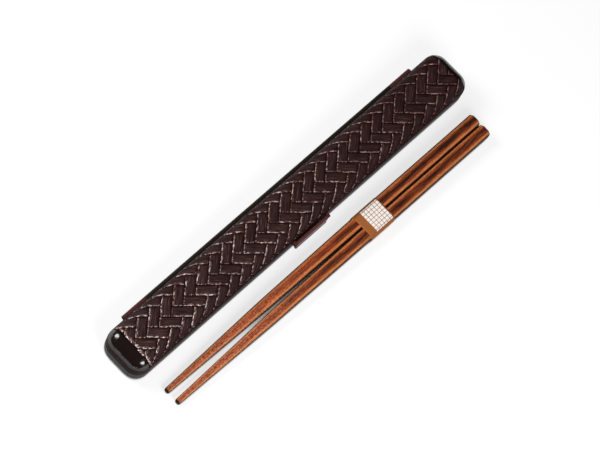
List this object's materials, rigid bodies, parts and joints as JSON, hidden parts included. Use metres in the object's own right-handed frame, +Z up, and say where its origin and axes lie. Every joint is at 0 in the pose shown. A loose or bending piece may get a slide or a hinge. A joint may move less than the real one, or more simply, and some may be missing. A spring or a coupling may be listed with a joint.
{
  "type": "chopstick case",
  "caption": "Slim hinged travel case for chopsticks: tray, arched lid with herringbone relief and front snap clasp, with tapered wooden chopsticks beside it in a paper band.",
  "frame": {"origin": "middle of the tray's flat underside", "axes": "+X along the case to its far end, +Y towards the hinge, +Z up"},
  "size_m": [0.21, 0.0467, 0.0159],
  "materials": {
    "tray_plastic": "black moulded ABS, soft gloss",
    "lid_plastic": "dark brown moulded ABS, glossy",
    "weave_plastic": "dark brown herringbone relief, semi-gloss lacquer",
    "clasp_plastic": "reddish brown moulded ABS, soft gloss",
    "pin_steel": "drawn steel wire",
    "stick_wood": "oiled red-brown hardwood with a dark streak",
    "band_paper": "kraft paper with a pale printed panel"
  },
  "bodies": {
    "base": {"base_tray": "tray_plastic", "hinge_pin_near": "pin_steel", "hinge_pin_far": "pin_steel"},
    "lid": {"lid_shell": "lid_plastic", "weave_panel": "weave_plastic", "clasp_pin": "pin_steel"},
    "clasp": {"front_clasp": "clasp_plastic"},
    "bundle": {"paper_band": "band_paper"},
    "chopstick_a": {"chopstick_a": "stick_wood"},
    "chopstick_b": {"chopstick_b": "stick_wood"}
  },
  "joints": [
    {"name": "lid_hinge", "type": "hinge", "parent": "base", "child": "lid", "pos_m": [0, 0.0121, 0.0074], "axis": [-1, 0, 0], "range_deg": [0, 165]},
    {"name": "clasp_swing", "type": "hinge", "parent": "lid", "child": "clasp", "pos_m": [0, -0.01265, 0.0098], "axis": [-1, 0, 0], "range_deg": [0, 75]},
    {"name": "bundle_lift", "type": "slide", "parent": "base", "child": "bundle", "axis": [0, 0, 1], "range_m": [0, 0.08]},
    {"name": "chopstick_a_draw", "type": "slide", "parent": "bundle", "child": "chopstick_a", "axis": [1, -0.0052, 0], "range_m": [0, 0.135]},
    {"name": "chopstick_b_draw", "type": "slide", "parent": "bundle", "child": "chopstick_b", "axis": [1, -0.0052, 0], "range_m": [0, 0.135]}
  ]
}
